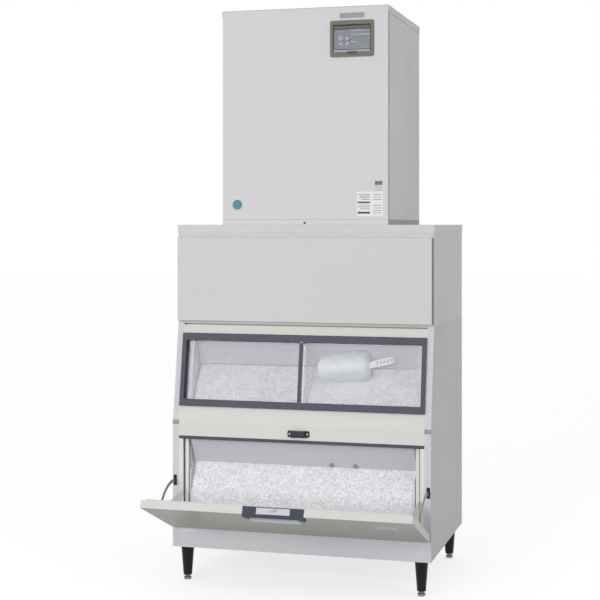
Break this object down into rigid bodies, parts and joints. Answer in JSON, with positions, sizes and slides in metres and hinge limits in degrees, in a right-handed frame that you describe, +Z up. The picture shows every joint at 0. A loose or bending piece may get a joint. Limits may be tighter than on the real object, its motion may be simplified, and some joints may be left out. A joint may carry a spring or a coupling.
{
  "type": "ice machine",
  "caption": "Flake ice machine: a tall ice maker head on an insulated bin with a sloping front, sliding windows, a tilt-down door held open on curved stays, and tapered legs.",
  "frame": {"origin": "on the floor, under the middle of the whole footprint", "axes": "+X to the machine's right seen from its front, +Y to its back, +Z up"},
  "size_m": [0.98, 1.0396, 2.13],
  "materials": {
    "sheet_white": "satin",
    "sheet_side": "satin",
    "sheet_cream": "satin",
    "steel": "satin",
    "chromed": "polished",
    "dark_plastic": "matt",
    "black_plastic": "matt",
    "black_paint": "semi-gloss",
    "grey_plastic": "satin",
    "white_plastic": "satin",
    "olive_plastic": "satin",
    "frame_plastic": "satin",
    "seal_white": "matt",
    "foam": "matt",
    "clear": "clear",
    "smoked": "clear",
    "ice": "granular",
    "scoop_plastic": "satin",
    "stay_steel": "satin",
    "cast": "painted",
    "alloy": "satin",
    "copper": "bright",
    "key_plastic": "gloss"
  },
  "bodies": {
    "cabinet": {"head_base": "sheet_side", "head_front_panel": "sheet_white", "head_side_panels": "sheet_side", "head_back_panel": "sheet_side", "head_top_cover": "sheet_side", "control_bezel": "olive_plastic", "control_box": "steel", "compressor": "cast", "condenser": "alloy", "fan_motor": "cast", "gear_motor": "cast", "evaporator": "black_plastic", "ice_spout": "white_plastic", "water_reservoir": "white_plastic", "refrigerant_lines": "copper", "water_inlet": "copper", "drain_pipes": "grey_plastic", "bin_top_plate": "sheet_side", "upper_side_panels": "sheet_side", "upper_front_frame": "sheet_white", "upper_front_panel": "sheet_white", "bin_side_panels": "sheet_side", "bin_back_panels": "sheet_side", "bin_floor": "steel", "apron_panel": "sheet_white", "window_header": "sheet_cream", "middle_panel": "sheet_cream", "top_gasket": "dark_plastic", "opening_frame": "frame_plastic", "bin_liner": "white_plastic", "foam_jacket": "foam", "upper_baffle": "sheet_cream", "lower_baffle": "sheet_cream", "ice_heap": "ice", "scoop": "scoop_plastic", "window_frame": "dark_plastic", "stay_bushes": "black_plastic", "door_hinge": "steel", "door_striker": "dark_plastic", "bin_legs": "black_paint"},
    "door": {"door_outer_skin": "sheet_cream", "door_liner": "white_plastic", "door_gasket": "seal_white", "door_stays": "stay_steel", "handle_housing": "dark_plastic", "latch_plate": "grey_plastic"},
    "paddle": {"handle_paddle": "grey_plastic"},
    "bolt": {"latch_bolt": "chromed"},
    "left_window": {"left_pane": "clear"},
    "right_window": {"right_pane": "clear", "pane_strip": "dark_plastic"},
    "flap": {"control_cover": "smoked"},
    "run_key": {"run_button": "key_plastic"},
    "stop_key": {"stop_button": "key_plastic"},
    "fan": {"fan_blade": "alloy"},
    "screw": {"auger": "steel"},
    "leveller_front_left": {"foot_front_left": "chromed"},
    "leveller_front_right": {"foot_front_right": "chromed"},
    "leveller_rear_left": {"foot_rear_left": "chromed"},
    "leveller_rear_right": {"foot_rear_right": "chromed"}
  },
  "joints": [
    {"name": "door_hinge", "type": "hinge", "parent": "cabinet", "child": "door", "pos_m": [0, -0.20519, 0.222], "axis": [-1, 0, 0], "range_deg": [0, 67.3]},
    {"name": "handle_pull", "type": "hinge", "parent": "door", "child": "paddle", "pos_m": [0, -0.50604, 0.32942], "axis": [-1, 0, 0], "range_deg": [0, 20], "stiffness_Nm_per_rad": 0.8},
    {"name": "latch_slide", "type": "slide", "parent": "door", "child": "bolt", "axis": [0, 0.9225, -0.3859], "range_m": [0, 0.0061]},
    {"name": "left_window_slide", "type": "slide", "parent": "cabinet", "child": "left_window", "axis": [1, 0, 0], "range_m": [0, 0.4455]},
    {"name": "right_window_slide", "type": "slide", "parent": "cabinet", "child": "right_window", "axis": [-1, 0, 0], "range_m": [0, 0.438]},
    {"name": "flap_hinge", "type": "hinge", "parent": "cabinet", "child": "flap", "pos_m": [0.182, -0.11119, 2.0595], "axis": [-1, 0, 0], "range_deg": [0, 100]},
    {"name": "run_push", "type": "slide", "parent": "cabinet", "child": "run_key", "axis": [0, 1, 0], "range_m": [0, 0.0015], "stiffness_N_per_m": 600},
    {"name": "stop_push", "type": "slide", "parent": "cabinet", "child": "stop_key", "axis": [0, 1, 0], "range_m": [0, 0.0015], "stiffness_N_per_m": 600},
    {"name": "fan_spin", "type": "hinge", "parent": "cabinet", "child": "fan", "pos_m": [-0.09, 0.39481, 1.63], "axis": [0, 1, 0], "continuous": true},
    {"name": "auger_spin", "type": "hinge", "parent": "cabinet", "child": "screw", "pos_m": [0.15, 0.08481, 1.52], "axis": [0, 0, 1], "continuous": true},
    {"name": "foot_screw_front_left", "type": "slide", "parent": "cabinet", "child": "leveller_front_left", "axis": [0, 0, -1], "range_m": [0, 0.02]},
    {"name": "foot_screw_front_right", "type": "slide", "parent": "cabinet", "child": "leveller_front_right", "axis": [0, 0, -1], "range_m": [0, 0.02]},
    {"name": "foot_screw_rear_left", "type": "slide", "parent": "cabinet", "child": "leveller_rear_left", "axis": [0, 0, -1], "range_m": [0, 0.02]},
    {"name": "foot_screw_rear_right", "type": "slide", "parent": "cabinet", "child": "leveller_rear_right", "axis": [0, 0, -1], "range_m": [0, 0.02]}
  ],
  "couplings": [
    {"joint": "latch_slide", "follows": "handle_pull", "m_per_rad": 0.0172}
  ]
}
